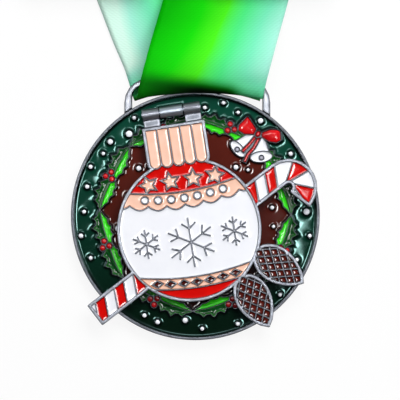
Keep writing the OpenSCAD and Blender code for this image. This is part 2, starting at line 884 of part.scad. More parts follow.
module ribbon_loop() {
    rows = len(loop_route);
    color([0.2, 0.8, 0.15]) polyhedron([for (i = [0:rows - 1]) each loop_ring(i)],
        strip_faces(rows, across + 1), convexity = 6);
}

// Bundles: each strap runs out to the far fold, then back and forth, and at last turns square across.
// They are drawn for the right strap and mirrored for the left one.
// A station is [middle of the ring, bearing of the ring, half length of the ring, normal of the strip].

start_y = disc_r + loop_route[0].x + seam_gap;
function layer_z(rest, y, k) = mix(rest[0], rest[1], (y - start_y) / (far_y - start_y)) + k * fold_step;
function station(x, y, z, bearing, lean, up) =
    [[x, y, z], bearing, ribbon_w / 2 / cos(lean), up];

// One fold: the strip turns up and back about a line at the given bearing and goes up by the given rise
function fold_stations(x, y, z, rise, bearing, way, up) =
    [for (a = [0:45:180]) let (out = way * polar(1, bearing + 90), r = rise / 2)
        station(x + out.x * r * sin(a), y + out.y * r * sin(a), z + r * (1 - cos(a)), bearing, bearing,
            up * [-out.x * sin(a), -out.y * sin(a), cos(a)])];

function bundle_stations(x0, slant, rest, rise, end_x, end_z) = let (
    x = x0 + (far_y - start_y) * tan(slant),
    top = layer_z(rest, mitre_y, fold_runs - 1)) concat(
    [station(x0, start_y, rest[0], 0, slant, [0, 0, 1])],
    [for (k = [0:fold_runs - 2]) let (far = k % 2 == 0, y = far ? far_y : near_y)
        each fold_stations(x, y, layer_z(rest, y, k), fold_step, k == 0 ? -slant / 2 : 0,
            far ? 1 : -1, far ? 1 : -1)],
    fold_stations(x, mitre_y, top, rise, -45, 1, 1),
    [for (run_x = [x - mitre_run, end_x]) station(run_x, mitre_y, end_z, -90, 0, [0, 0, -1])]);

function station_ring(s) = let (
    side = concat(polar(s[2], s[1]), 0),
    n = s[3] * ribbon_t / 2) [s[0] - side + n, s[0] + side + n, s[0] + side - n, s[0] - side - n];

// Least distance between two folds of a bundle, face to face, and the length of its middle line
function least_gap(st) = min([for (i = [0:len(st) - 5], j = [i + 4:len(st) - 1]) norm(st[i][0] - st[j][0])])
    - ribbon_t;
function line_length(st) = sum([for (i = [1:len(st) - 1]) norm(st[i][0] - st[i - 1][0])]);

left_cross_z = layer_z(left_rest, mitre_y, fold_runs);
right_cross_z = left_cross_z + ribbon_t + cross_gap;
right_x0 = strap_x(run_to(0));
left_x0 = -strap_x(run_to(len(loop_route) - 1));
right_rise = 2 * fold_step;
right_stations = bundle_stations(right_x0, front_slant, right_rest, right_rise, right_end_x, right_cross_z);
left_stations = bundle_stations(left_x0, back_slant, left_rest, fold_step, -left_end_x, left_cross_z);
ribbon_len = line_length(right_stations) + line_length(left_stations)
    + run_to(0) / cos(front_slant) - run_to(len(loop_route) - 1) / cos(back_slant);
echo(least_fold_gap_right = least_gap(right_stations), least_fold_gap_left = least_gap(left_stations));
echo(ribbon_cut_length = ribbon_len);

module bundle(stations) {
    polyhedron([for (s = stations) each station_ring(s)], strip_faces(len(stations), 2), convexity = 12);
}

module ribbon_bundle_right() {
    color([0.2, 0.8, 0.15]) bundle(right_stations);
}

module ribbon_bundle_left() {
    color([0.2, 0.8, 0.15]) mirror([1, 0, 0]) bundle(left_stations);
}

// A paper band goes round all folds of a bundle but the lowest
module paper_band(x0, slant, rest) {
    x = x0 + (far_y - start_y) * tan(slant);
    wide = ribbon_w + 2 * band_clear;
    low = layer_z(rest, band_y, 1) - ribbon_t / 2 - band_clear;
    high = layer_z(rest, band_y, fold_runs - 1) + ribbon_t / 2 + band_clear;
    translate([x, band_y, (low + high) / 2]) difference() {
        cube([wide + 2 * band_t, band_w, high - low + 2 * band_t], center = true);
        cube([wide, band_w + overlap, high - low], center = true);
    }
}

module ribbon_bands() {
    color([0.93, 0.92, 0.88]) {
        paper_band(right_x0, front_slant, right_rest);
        mirror([1, 0, 0]) paper_band(left_x0, back_slant, left_rest);
    }
}

// Two rows of thread along the ends of the overlap, lying on the upper strap
module neck_stitches() {
    rows = [right_end_x + stitch_inset, left_end_x - stitch_inset];
    count = floor(ribbon_w / stitch_pitch);
    color([0.5, 0.9, 0.6]) for (x = rows, i = [0:count - 1])
        translate([x, mitre_y + (i - (count - 1) / 2) * stitch_pitch, right_cross_z + ribbon_t / 2])
            translate([-stitch_w / 2, -stitch_len / 2, stitch_lift])
                cube([stitch_w, stitch_len, stitch_w / 2]);
}

base_plate();
middle_knuckle();
green_field();
brown_field();
leaf_light();
leaf_dark();
berries();
snow_dots();
bells();
bell_clappers();
bow();
ribbon_loop();
ribbon_bundle_right();
ribbon_bundle_left();
ribbon_bands();
neck_stitches();
cover_plate();
hinge_pin();
cap_flutes();
ornament_red();
ornament_bands();
ornament_white();
ornament_stars();
band_beads();
band_lozenges();
cane_red();
cane_white();
pine_cones();
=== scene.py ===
import math

import bmesh
import bpy
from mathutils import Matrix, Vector
from mathutils.bvhtree import BVHTree
from mathutils.geometry import delaunay_2d_cdt
from mathutils.kdtree import KDTree


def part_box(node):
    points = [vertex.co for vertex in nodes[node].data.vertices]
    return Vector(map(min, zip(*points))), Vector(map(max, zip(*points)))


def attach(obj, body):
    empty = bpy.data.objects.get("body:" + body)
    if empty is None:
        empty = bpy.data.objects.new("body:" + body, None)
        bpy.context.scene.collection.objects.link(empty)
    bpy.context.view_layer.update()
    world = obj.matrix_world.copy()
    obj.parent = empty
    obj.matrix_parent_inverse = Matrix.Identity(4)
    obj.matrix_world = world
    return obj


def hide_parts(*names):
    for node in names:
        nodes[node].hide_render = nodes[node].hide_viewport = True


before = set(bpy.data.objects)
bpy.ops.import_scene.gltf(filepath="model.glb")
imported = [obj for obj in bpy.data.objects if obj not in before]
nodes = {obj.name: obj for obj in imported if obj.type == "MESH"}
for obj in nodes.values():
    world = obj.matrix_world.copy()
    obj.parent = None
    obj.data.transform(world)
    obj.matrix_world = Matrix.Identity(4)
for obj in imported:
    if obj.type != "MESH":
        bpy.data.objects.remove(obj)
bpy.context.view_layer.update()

# Camera
# The medal lies on its back and is seen from straight above through a long lens. The picture is as wide
# as the photograph, so the straps of the ribbon leave it at its upper edge.
MM = 0.001
VIEW_WIDTH = 122.1 * MM
VIEW_MIDDLE = (1.43 * MM, 4.79 * MM)
LENS = 180
SENSOR = 36
base_low, base_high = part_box("base_plate")
scene = bpy.context.scene
camera_data = bpy.data.cameras.new("camera")
camera_data.lens = LENS
camera_data.sensor_width = SENSOR
camera = bpy.data.objects.new("camera", camera_data)
camera_height = base_high.z + VIEW_WIDTH * LENS / SENSOR
camera.location = (*VIEW_MIDDLE, camera_height)
scene.collection.objects.link(camera)
scene.camera = camera


# Neck ribbon
# A polyester satin ribbon, dyed in running greens and woven with firm edges. It goes through the slot of
# the casting and round its cross bar, and the rest of its length lies folded in two bundles.
RIBBON_W = 37 * MM
RIBBON_T = 0.5 * MM
# Distance of the ribbon's middle from the edge of the disc, and its height, in mm. Front strap first
LOOP_ROUTE = [(32, 1.9), (27, 2.7), (22, 4.2), (17.5, 5.8), (14, 6.7), (11.2, 7.1), (8.6, 7.2),
              (6.2, 7.05), (4.2, 6.7), (2.6, 6.2), (1, 5.6), (0, 4.9), (-0.4, 4.2), (-0.05, 3.6),
              (0.65, 2.95), (0.55, 1.9), (0.65, 1), (1.2, 0.5), (2.5, 0.34), (6, 0.34), (14, 0.34),
              (22, 0.4), (28, 0.55), (32, 0.75)]
FOLD_ROW = 15
LOOP_STEPS = 6
FRONT_SLANT = math.radians(15)
BACK_SLANT = math.radians(21)
HANGER_X = 0.6 * MM
LOOP_DROP = 3.3 * MM
LOOP_REACH = 8 * MM
TURN_RUN = 15 * MM
DISC_R = base_high.x
START_Y = DISC_R + 32.05 * MM
NEAR_Y = DISC_R + 34 * MM
FAR_Y = DISC_R + 85 * MM
MITRE_Y = DISC_R + 65 * MM
MITRE_RUN = 20 * MM
FOLD_STEP = 1.05 * MM
FOLD_RUNS = 7
FOLD_TURN = 20
RIGHT_REST = (1.9 * MM, 0.4 * MM)
LEFT_REST = (0.75 * MM, 0.4 * MM)
RIGHT_END_X = -14 * MM
LEFT_END_X = 4 * MM
CROSS_GAP = 0.12 * MM
ROW_STEP = 3 * MM
ACROSS = 24


def mix(a, b, share):
    return a + (b - a) * share


def polar(radius, angle):
    return Vector((radius * math.cos(angle), radius * math.sin(angle), 0))


def smooth_curve(points, steps):
    """Points of a smooth curve through the given points, with so many steps from each to the next."""
    line = [2 * points[0] - points[1], *points, 2 * points[-1] - points[-2]]
    curve = []
    for a, b, c, d in zip(line, line[1:], line[2:], line[3:]):
        for i in range(steps):
            t = i / steps
            bend = (2 * a - 5 * b + 4 * c - d) * t ** 2 + (3 * b - a - 3 * c + d) * t ** 3
            curve.append(b + ((c - a) * t + bend) / 2)
    return [*curve, points[-1]]


def loop_rows():
    """Rows of points across the free ribbon, from the end of the front strap to that of the back strap."""
    curve = smooth_curve([Vector(p) * MM for p in LOOP_ROUTE], LOOP_STEPS)
    fold = FOLD_ROW * LOOP_STEPS
    run = [0.0]
    for a, b in zip(curve, curve[1:]):
        run.append(run[-1] + (b - a).length)
    rows = []
    for point, along in zip(curve, run):
        s = run[fold] - along
        turn = min(1, max(0, -s / TURN_RUN))
        middle = HANGER_X + s * math.tan(FRONT_SLANT if s > 0 else BACK_SLANT)
        half = RIBBON_W / 2 / math.cos(mix(FRONT_SLANT, BACK_SLANT, turn))
        sag = LOOP_DROP * max(0, 1 - abs(s) / LOOP_REACH) ** 1.5
        row = []
        for j in range(ACROSS + 1):
            f = 2 * j / ACROSS - 1
            row.append(Vector((middle + f * half, DISC_R + point.x - sag * f * f, point.y)))
        rows.append(row)
    return rows


def layer_height(rest, y, layer):
    return mix(rest[0], rest[1], (y - START_Y) / (FAR_Y - START_Y)) + layer * FOLD_STEP


def fold_stations(x, y, z, rise, bearing, way):
    """Stations of one fold: the ribbon turns up and back about a line at the given bearing."""
    out = way * polar(1, bearing + math.pi / 2)
    side = polar(RIBBON_W / 2 / math.cos(bearing), bearing)
    stations = []
    for degrees in range(0, 181, FOLD_TURN):
        turn = math.radians(degrees)
        lift = Vector((0, 0, rise / 2 * (1 - math.cos(turn))))
        stations.append((Vector((x, y, z)) + out * (rise / 2 * math.sin(turn)) + lift, side))
    return stations


def bundle_rows(x0, slant, rest, rise, end_x, end_z):
    """Rows of points of one folded bundle, drawn for the right strap."""
    x = x0 + (FAR_Y - START_Y) * math.tan(slant)
    stations = [(Vector((x0, START_Y, rest[0])), polar(RIBBON_W / 2 / math.cos(slant), 0))]
    for k in range(FOLD_RUNS - 1):
        far = k % 2 == 0
        y = FAR_Y if far else NEAR_Y
        bearing = -slant / 2 if k == 0 else 0
        stations += fold_stations(x, y, layer_height(rest, y, k), FOLD_STEP, bearing, 1 if far else -1)
    top = layer_height(rest, MITRE_Y, FOLD_RUNS - 1)
    stations += fold_stations(x, MITRE_Y, top, rise, -math.pi / 4, 1)
    across = polar(RIBBON_W / 2, -math.pi / 2)
    stations += [(Vector((run_x, MITRE_Y, end_z)), across) for run_x in (x - MITRE_RUN, end_x)]
    rows = []
    for (a, side_a), (b, side_b) in zip(stations, stations[1:]):
        count = max(1, math.ceil((b - a).length / ROW_STEP))
        for i in range(count):
            middle = a.lerp(b, i / count)
            side = side_a.lerp(side_b, i / count)
            rows.append([middle + side * (2 * j / ACROSS - 1) for j in range(ACROSS + 1)])
    end, side = stations[-1]
    return [*rows, [end + side * (2 * j / ACROSS - 1) for j in range(ACROSS + 1)]]


free_rows = loop_rows()
middle_of_row = ACROSS // 2
left_cross_z = layer_height(LEFT_REST, MITRE_Y, FOLD_RUNS)
right_cross_z = left_cross_z + RIBBON_T + CROSS_GAP
right_rows = bundle_rows(free_rows[0][middle_of_row].x, FRONT_SLANT, RIGHT_REST, 2 * FOLD_STEP,
                         RIGHT_END_X, right_cross_z)
drawn_rows = bundle_rows(-free_rows[-1][middle_of_row].x, BACK_SLANT, LEFT_REST, FOLD_STEP,
                         -LEFT_END_X, left_cross_z)
left_rows = [[Vector((-p.x, p.y, p.z)) for p in reversed(row)] for row in drawn_rows]
ribbon_rows = [*reversed(right_rows), *free_rows, *left_rows]


def srgb(colour):
    """A colour written as six sRGB hex digits, as linear red, green, blue and alpha."""
    parts = [int(colour[i:i + 2], 16) / 255 for i in (0, 2, 4)]
    return (*[c / 12.92 if c <= 0.04045 else ((c + 0.055) / 1.055) ** 2.4 for c in parts], 1)


def add_node(tree, kind, inputs=(), stops=(), **settings):
    """Adds one shader node with its settings, its ramp's stops, and values or links for its inputs."""
    made = tree.nodes.new("ShaderNode" + kind)
    for name, value in settings.items():
        setattr(made, name, value)
    for i, (place, colour) in enumerate(stops):
        ramp = made.color_ramp.elements
        stop = ramp[i] if i < len(ramp) else ramp.new(place)
        stop.position = place
        stop.color = colour
    for name, value in dict(inputs).items():
        if isinstance(value, bpy.types.NodeSocket):
            tree.links.new(value, made.inputs[name])
        else:
            made.inputs[name].default_value = value
    return made


def blank_material(name):
    material = bpy.data.materials.new(name)
    material.use_nodes = True
    material.node_tree.nodes.clear()
    return material, material.node_tree


def printed_satin():
    """Dyed polyester satin: long floats give a soft shine across the ribbon, and the dye runs from lime
    to mint."""
    material, tree = blank_material("printed_satin")
    place = add_node(tree, "UVMap", uv_map="cloth")
    parts = add_node(tree, "SeparateXYZ", {0: place.outputs["UV"]})
    drift = add_node(tree, "TexNoise", {"Vector": place.outputs["UV"], "Scale": 1 / BLOTCH_SIZE, "Detail": 2})
    # The pale side of the print changes from one edge to the other along the ribbon
    swing = add_node(tree, "MapRange", {
        "Value": parts.outputs["Y"], "From Min": PALE_TURN - SWING_REACH, "From Max": PALE_TURN + SWING_REACH,
        "To Min": 1, "To Max": -1}, interpolation_type="SMOOTHSTEP")
    leaning = add_node(tree, "Math", {0: parts.outputs["X"], 1: swing.outputs["Result"]},
                       operation="MULTIPLY")
    share = add_node(tree, "MapRange", {"Value": leaning.outputs[0], "From Min": -RIBBON_W / 2,
                                        "From Max": RIBBON_W / 2, "To Max": 0.92})
    blotch = add_node(tree, "MapRange", {"Value": drift.outputs["Fac"], "To Min": -BLOTCH_SHARE,
                                         "To Max": BLOTCH_SHARE})
    faded = add_node(tree, "MapRange", {"Value": swing.outputs["Result"], "From Min": 1, "From Max": -1,
                                        "To Max": 0.22})
    # Painted shade where the ribbon rolls over into the slot, least at its right edge
    askew = add_node(tree, "Math", {0: parts.outputs["X"], 1: CREASE_SHADE_LEAN, 2: parts.outputs["Y"]},
                     operation="MULTIPLY_ADD")
    into_crease_shade = add_node(tree, "MapRange", {
        "Value": askew.outputs[0], "From Min": PALE_TURN - CREASE_SHADE_REACH,
        "From Max": PALE_TURN - CREASE_SHADE_DARK}, interpolation_type="SMOOTHSTEP")
    out_of_crease_shade = add_node(tree, "MapRange", {
        "Value": parts.outputs["Y"], "From Min": PALE_TURN + CREASE_SHADE_END,
        "From Max": PALE_TURN}, interpolation_type="SMOOTHSTEP")
    to_left = add_node(tree, "MapRange", {
        "Value": parts.outputs["X"], "From Min": RIBBON_W * 0.42, "From Max": RIBBON_W * 0.2,
        "To Min": 0.12}, interpolation_type="SMOOTHSTEP")
    from_left = add_node(tree, "MapRange", {"Value": parts.outputs["X"], "From Min": -RIBBON_W / 2,
                                            "From Max": 0, "To Min": 0.68})
    crease_shade = add_node(tree, "Math", {0: into_crease_shade.outputs["Result"], 1: out_of_crease_shade.outputs["Result"]},
                      operation="MULTIPLY")
    sides = add_node(tree, "Math", {0: to_left.outputs["Result"], 1: from_left.outputs["Result"]},
                     operation="MULTIPLY")
    crease_shade_share = add_node(tree, "Math", {0: crease_shade.outputs[0], 1: sides.outputs[0]}, operation="MULTIPLY")
    # Painted light: a pale spot near the right edge, where the strap bends down away from the lamps
    from_lit_spot = add_node(tree, "VectorMath", {0: place.outputs["UV"], 1: (*LIT_SPOT, 0)},
                         operation="DISTANCE")
    pale = add_node(tree, "MapRange", {"Value": from_lit_spot.outputs["Value"], "From Min": LIT_SPOT_REACH,
                                       "To Max": 0.4}, interpolation_type="SMOOTHSTEP")
    spread = add_node(tree, "Math", {0: share.outputs["Result"], 1: blotch.outputs["Result"]},
                      operation="ADD")
    spread_and_light = add_node(tree, "Math", {0: spread.outputs[0], 1: pale.outputs["Result"]}, operation="ADD")
    dye_at = add_node(tree, "Math", {0: spread_and_light.outputs[0], 1: faded.outputs["Result"]}, operation="ADD")
    dye = add_node(tree, "ValToRGB", {"Fac": dye_at.outputs[0]}, stops=[
        (0, srgb("04AE02")), (0.25, srgb("12D206")), (0.48, srgb("4AE81C")), (0.64, srgb("4CE280")),
        (0.8, srgb("74E2B4")), (0.92, srgb("A0E8D2")), (1, srgb("D0F3E4"))])
    ribs = add_node(tree, "TexWave", {"Vector": place.outputs["UV"], "Scale": WAVE_LENGTH / RIB_PITCH,
                                      "Distortion": 1.2, "Detail": 1}, bands_direction="Y")
    twill = add_node(tree, "TexWave", {"Vector": place.outputs["UV"], "Scale": WAVE_LENGTH / TWILL_PITCH},
                     bands_direction="DIAGONAL")
    weave = add_node(tree, "Math", {0: ribs.outputs["Fac"], 1: twill.outputs["Fac"]}, operation="ADD")
    bump = add_node(tree, "Bump", {"Height": weave.outputs[0], "Strength": 0.18, "Distance": WEAVE_DEPTH})
    shade = add_node(tree, "MapRange", {"Value": weave.outputs[0], "From Max": 2, "To Min": 0.93,
                                        "To Max": 1.03})
    # Painted shade: the front strap is darker further from the slot, against the light of the soft box beyond
    strap_shade = add_node(tree, "MapRange", {
        "Value": parts.outputs["Y"], "From Min": PALE_TURN - STRAP_SHADE_FAR, "From Max": PALE_TURN - STRAP_SHADE_NEAR,
        "To Min": 0.78}, interpolation_type="SMOOTHSTEP")
    weave_and_strap_shade = add_node(tree, "Math", {0: shade.outputs["Result"], 1: strap_shade.outputs["Result"]},
                     operation="MULTIPLY")
    tint = add_node(tree, "Mix", {0: 1.0, 6: dye.outputs["Color"], 7: weave_and_strap_shade.outputs[0]},
                    data_type="RGBA", blend_type="MULTIPLY")
    # The painted shade turns to a dark green first, and nearly black where it is strongest
    deep_shade = add_node(tree, "MapRange", {"Value": crease_shade_share.outputs[0], "From Max": 0.8},
                    interpolation_type="SMOOTHSTEP")
    darkest_shade = add_node(tree, "MapRange", {"Value": crease_shade_share.outputs[0], "From Min": 0.55},
                       interpolation_type="SMOOTHSTEP")
    deep_green_shade = add_node(tree, "Mix", {0: deep_shade.outputs["Result"], 6: tint.outputs[2], 7: srgb("087A0C")},
                          data_type="RGBA")
    crease_shaded = add_node(tree, "Mix", {0: darkest_shade.outputs["Result"], 6: deep_green_shade.outputs[2],
                                     7: srgb("011202")}, data_type="RGBA")
    shader = add_node(tree, "BsdfPrincipled", {
        "Base Color": crease_shaded.outputs[2], "Roughness": 0.5, "Sheen Weight": 0.02, "Sheen Roughness": 0.35,
        "Specular IOR Level": 0.06, "Normal": bump.outputs["Normal"]})
    add_node(tree, "OutputMaterial", {"Surface": shader.outputs["BSDF"]})
    return material


def run_lengths(rows):
    """Distance along the ribbon at each row, measured on its middle line."""
    lengths = [0.0]
    for a, b in zip(rows, rows[1:]):
        lengths.append(lengths[-1] + (b[middle_of_row] - a[middle_of_row]).length)
    return lengths


ribbon_runs = run_lengths(ribbon_rows)
# The fold at the slot, from where places in the print are measured along the ribbon
PALE_TURN = ribbon_runs[len(right_rows) + FOLD_ROW * LOOP_STEPS]
SWING_REACH = 12 * MM
BLOTCH_SIZE = 45 * MM
BLOTCH_SHARE = 0.2
# Middle and reach of the spot of painted light near the ribbon's right edge
LIT_SPOT = (14 * MM, PALE_TURN - 11.5 * MM)
LIT_SPOT_REACH = 10 * MM
# The painted shade at the fold starts so far before the fold, is at its strongest this far before it, and
# ends so far after it
CREASE_SHADE_REACH = 10 * MM
CREASE_SHADE_DARK = 3.5 * MM
CREASE_SHADE_END = 4 * MM
CREASE_SHADE_LEAN = -0.16
# The front strap's painted shade grows between these distances before the fold
STRAP_SHADE_FAR = 28 * MM
STRAP_SHADE_NEAR = 13 * MM
# Real floats are about 0.2 mm apart; they are drawn wider, or they would not show
RIB_PITCH = 0.6 * MM
TWILL_PITCH = 0.7 * MM
WEAVE_DEPTH = 0.05 * MM
# A wave texture of scale 1 repeats after this length
WAVE_LENGTH = 0.314


def place_mesh(name, mesh, material):
    """Makes a piece of a mesh, in the frame that it shares with the solids."""
    mesh.materials.append(material)
    piece = bpy.data.objects.new(name, mesh)
    scene.collection.objects.link(piece)
    return piece


def fit_piece(piece, body, slot, *stood_for):
    """The piece moves with a body and stands for these solids, which are hidden. slot is not used."""
    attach(piece, body)
    if stood_for:
        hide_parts(*stood_for)
    return piece


def add_strip(sheet, rows):
    """Adds a sheet through rows of points. Gives each face with the places of its corners in the rows."""
    grid = [[sheet.verts.new(p) for p in row] for row in rows]
    faces = []
    for i in range(len(rows) - 1):
        for j in range(len(rows[i]) - 1):
            corners = [(i, j), (i, j + 1), (i + 1, j + 1), (i + 1, j)]
            face = sheet.faces.new([grid[a][b] for a, b in corners])
            face.smooth = True
            faces.append((face, corners))
    return faces


def piece_of(solid, name, material):
    mesh = bpy.data.meshes.new(name)
    solid.to_mesh(mesh)
    solid.free()
    return place_mesh(name, mesh, material)


def thicken(piece, thickness):
    solid = piece.modifiers.new("thickness", "SOLIDIFY")
    solid.thickness = thickness
    solid.offset = 0


woven = bmesh.new()
cloth = woven.loops.layers.uv.new("cloth")
for face, corners in add_strip(woven, ribbon_rows):
    for loop, (row, column) in zip(face.loops, corners):
        loop[cloth].uv = ((column / ACROSS - 0.5) * RIBBON_W, ribbon_runs[row])
ribbon = piece_of(woven, "neck_ribbon", printed_satin())
thicken(ribbon, RIBBON_T)
fit_piece(ribbon, "base", "ribbon_satin", "ribbon_loop", "ribbon_bundle_right", "ribbon_bundle_left")


# Base casting
# One zinc casting with an antique silver plate: the disc, the raised rim and lines between the fills,
# and the hanger. Its lines and edges come out of the mould a little round.
CAST_ROUND = 0.13 * MM
HANGER_ROUND = 0.4 * MM
HANGER_TOP = 2.75 * MM
SAMPLE_STEP = 0.06 * MM
LEVEL_SLACK = 0.002 * MM
WELD = 0.0005 * MM
# Faces that are not reshaped count as this far from an edge
OPEN_FACE = 0.8 * MM
# Distances in mm from an edge of the rows of points that round it, and the spacing in a row and between
CAST_RINGS = (0.02, 0.06, 0.125)
CAST_GRID = 2 * MM
HANGER_RINGS = (0.05, 0.15, 0.28, 0.4, 0.6, 0.8, 1, 1.15)
HANGER_SPACING = 0.4 * MM
HANGER_GRID = 1 * MM
RING_SPACING = 0.3 * MM
# Grain of the casting, patches of the stain, and how far a hollow reaches
GRAIN_SIZE = 0.5 * MM
GRAIN_DEPTH = 0.06 * MM
STAIN_SIZE = 3 * MM
HOLLOW_REACH = 1.2 * MM


def welded_solid(node, open_face=OPEN_FACE):
    """A copy of a node's solid, with the corners that its faces share joined again."""
    solid = bmesh.new()
    solid.from_mesh(nodes[node].data)
    bmesh.ops.remove_doubles(solid, verts=solid.verts, dist=WELD)
    edge_mm = solid.verts.layers.float.new("edge_mm")
    for vert in solid.verts:
        vert[edge_mm] = open_face / MM
    return solid


def flat_faces(solid, level):
    return [f for f in solid.faces
            if f.normal.z > 0.9 and all(abs(v.co.z - level) < LEVEL_SLACK for v in f.verts)]


def border_of(faces):
    """The border of a group of faces, as pairs of corners with the faces on their left."""
    inner = set(faces)
    return [(loop.vert, loop.link_loop_next.vert) for face in faces for loop in face.loops
            if sum(f in inner for f in loop.edge.link_faces) == 1]


def border_samples(border):
    """Close points along a border, each with the direction away from it."""
    samples = []
    for a, b in border:
        run = b.co - a.co
        away = Vector((-run.y, run.x)).normalized()
        count = max(1, math.ceil(run.length / SAMPLE_STEP))
        for i in range(count):
            point = a.co + run * (i / count)
            samples.append((point.x, point.y, away.x, away.y))
    return samples


def ring_points(samples, near, rings):
    """Points in rows at the given distances from a border, none closer to another part of it."""
    points = []
    for distance, spacing in rings:
        taken = set()
        for x, y, away_x, away_y in samples:
            px = x + away_x * distance
            py = y + away_y * distance
            cell = (round(px / spacing), round(py / spacing))
            if cell not in taken and near.find((px, py, 0))[2] > 0.95 * distance:
                taken.add(cell)
                points.append((px, py, distance))
    return points


def field_points(samples, near, cover, level, spacing, clear):
    """Points on a grid over the flat faces, where they are clear of the border."""
    low_x = min(s[0] for s in samples)
    low_y = min(s[1] for s in samples)
    columns = math.ceil((max(s[0] for s in samples) - low_x) / spacing)
    lines = math.ceil((max(s[1] for s in samples) - low_y) / spacing)
    points = []
    for i in range(columns):
        for j in range(lines):
            x = low_x + (i + (j % 2) / 2) * spacing
            y = low_y + j * spacing
            distance = near.find((x, y, 0))[2]
            if distance > clear and over_faces(cover, x, y, level):
                points.append((x, y, distance))
    return points


def over_faces(cover, x, y, level):
    return cover.ray_cast(Vector((x, y, level + MM)), Vector((0, 0, -1)))[0] is not None


def reshape_top(solid, level, height, rings, spacing):
    """Turns a solid's flat faces at one level into a fine surface. height gives its rise over that level
    at a distance from the edge of the faces."""
    edge_mm = solid.verts.layers.float["edge_mm"]
    faces = flat_faces(solid, level)
    border = border_of(faces)
    corners = list(dict.fromkeys(v for pair in border for v in pair))
    place = {v: i for i, v in enumerate(corners)}
    spots = list(dict.fromkeys(v for f in faces for v in f.verts))
    spot_place = {v: i for i, v in enumerate(spots)}
    outlines = [[spot_place[v] for v in f.verts] for f in faces]
    cover = BVHTree.FromPolygons([v.co.copy() for v in spots], outlines)
    samples = border_samples(border)
    near = KDTree(len(samples))
    for i, (x, y, _, _) in enumerate(samples):
        near.insert((x, y, 0), i)
    near.balance()
    fresh = ring_points(samples, near, rings)
    fresh += field_points(samples, near, cover, level, spacing, rings[-1][0] + spacing / 2)
    flat = [v.co.xy / MM for v in corners] + [Vector((x, y)) / MM for x, y, _ in fresh]
    lines = [(place[a], place[b]) for a, b in border]
    points, _, triangles, origins, _, _ = delaunay_2d_cdt(flat, lines, [], 0, 1e-6)
    bmesh.ops.delete(solid, geom=faces, context="FACES")
    for corner in corners:
        corner.co.z = level + height(0)
        corner[edge_mm] = 0
    verts = []
    for point, origin in zip(points, origins):
        if origin and origin[0] < len(corners):
            verts.append(corners[origin[0]])
            continue
        distance = fresh[origin[0] - len(corners)][2] if origin else 0
        vert = solid.verts.new((point.x * MM, point.y * MM, level + height(distance)))
        vert[edge_mm] = distance / MM
        verts.append(vert)
    for triangle in triangles:
        middle = sum((points[i] for i in triangle), Vector((0, 0))) * MM / 3
        if over_faces(cover, middle.x, middle.y, level):
            solid.faces.new([verts[i] for i in triangle]).smooth = True
    loose = [v for v in solid.verts if not v.link_faces]
    bmesh.ops.delete(solid, geom=loose, context="VERTS")


def rings_at(steps, spacing=RING_SPACING):
    return [(step * MM, spacing) for step in steps]


def rounded_edge(radius):
    """Height of an edge that is rounded over with the given radius."""
    def height(distance):
        run = radius - min(distance, radius)
        return math.sqrt(radius ** 2 - run ** 2) - radius
    return height


def antique_silver(name, tones, grain, rough):
    """Silver plate over a zinc casting, darkened and wiped: broad faces come out bright, and the stain stays
    in hollows and along edges. The darkest tone right at an edge is painted shade of the walls. tones are the
    colours at distances from an edge in mm."""
    material, tree = blank_material(name)
    place = add_node(tree, "TexCoord")
    edge = add_node(tree, "Attribute", attribute_name="edge_mm")
    cast = add_node(tree, "TexNoise", {"Vector": place.outputs["Object"], "Scale": 1 / GRAIN_SIZE,
                                       "Detail": 4, "Roughness": 0.6})
    stain = add_node(tree, "TexNoise", {"Vector": place.outputs["Object"], "Scale": 1 / STAIN_SIZE,
                                        "Detail": 3})
    hollow = add_node(tree, "AmbientOcclusion", {"Distance": HOLLOW_REACH}, samples=6, only_local=True)
    wiped = add_node(tree, "MapRange", {"Value": hollow.outputs["AO"], "From Min": 0.25, "From Max": 0.85})
    silver = add_node(tree, "ValToRGB", {"Fac": edge.outputs["Fac"]}, stops=[
        (distance, srgb(colour)) for distance, colour in tones])
    patchy = add_node(tree, "MapRange", {"Value": stain.outputs["Fac"], "From Min": 0.3, "From Max": 0.7,
                                         "To Min": 0.86, "To Max": 1.04})
    tone = add_node(tree, "Mix", {0: 1.0, 6: silver.outputs["Color"], 7: patchy.outputs["Result"]},
                    data_type="RGBA", blend_type="MULTIPLY")
    colour = add_node(tree, "Mix", {0: wiped.outputs["Result"], 6: srgb("1E1F21"), 7: tone.outputs[2]},
                      data_type="RGBA")
    roughness = add_node(tree, "MapRange", {"Value": stain.outputs["Fac"], "From Min": 0.3, "From Max": 0.7,
                                            "To Min": rough + 0.08, "To Max": rough - 0.04})
    bump = add_node(tree, "Bump", {"Height": cast.outputs["Fac"], "Strength": grain, "Distance": GRAIN_DEPTH})
    shader = add_node(tree, "BsdfPrincipled", {
        "Base Color": colour.outputs[2], "Metallic": 1, "Roughness": roughness.outputs["Result"],
        "Normal": bump.outputs["Normal"]})
    add_node(tree, "OutputMaterial", {"Surface": shader.outputs["BSDF"]})
    return material


# The darkest tone at an edge is painted shade of the walls
cast_silver = antique_silver("antique_silver_cast", [
    (0, "2C2F34"), (0.06, "686C73"), (0.2, "8C9098"), (0.45, "9CA0A9"), (0.65, "BCC0C9"), (1, "D8DBE5")],
    0.15, 0.4)
base_solid = welded_solid("base_plate")
reshape_top(base_solid, base_high.z, rounded_edge(CAST_ROUND), rings_at(CAST_RINGS), CAST_GRID)
reshape_top(base_solid, HANGER_TOP, rounded_edge(HANGER_ROUND),
            rings_at(HANGER_RINGS, HANGER_SPACING), HANGER_GRID)
fit_piece(piece_of(base_solid, "base_casting", cast_silver), "base", "cast_metal", "base_plate")


